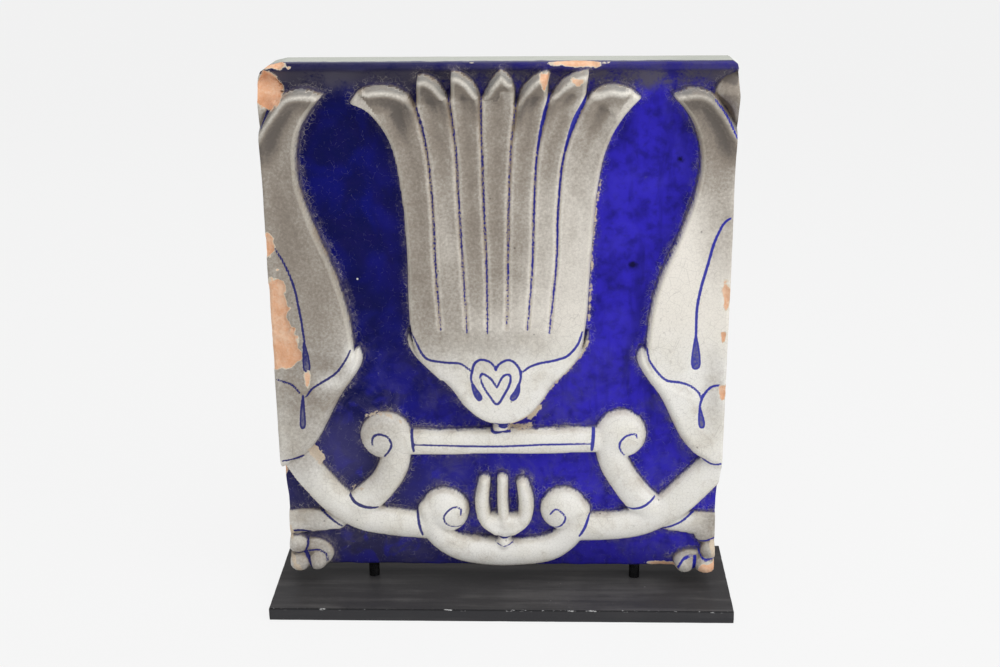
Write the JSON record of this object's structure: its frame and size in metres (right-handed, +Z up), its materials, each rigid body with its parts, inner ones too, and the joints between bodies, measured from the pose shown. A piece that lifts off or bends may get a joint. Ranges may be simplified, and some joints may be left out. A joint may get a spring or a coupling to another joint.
{
  "type": "glazed relief tile",
  "caption": "Upright glazed clay frieze tile with a raised white lotus and scrolls on cobalt blue, held on round rods over a flat black base plate.",
  "frame": {"origin": "middle of the base plate's underside", "axes": "+Z up; the carved face looks towards -Y; +X to the right of someone who faces the carving"},
  "size_m": [0.424, 0.127, 0.502],
  "materials": {
    "glazed_clay": "glossy crackled glaze, warm white on cobalt blue, raw clay at chips and back",
    "black_board": "satin black paint with faint grain",
    "black_rod": "satin black"
  },
  "bodies": {
    "root": {"tile": "glazed_clay", "base_plate": "black_board", "left_rod": "black_rod", "right_rod": "black_rod"}
  },
  "joints": []
}
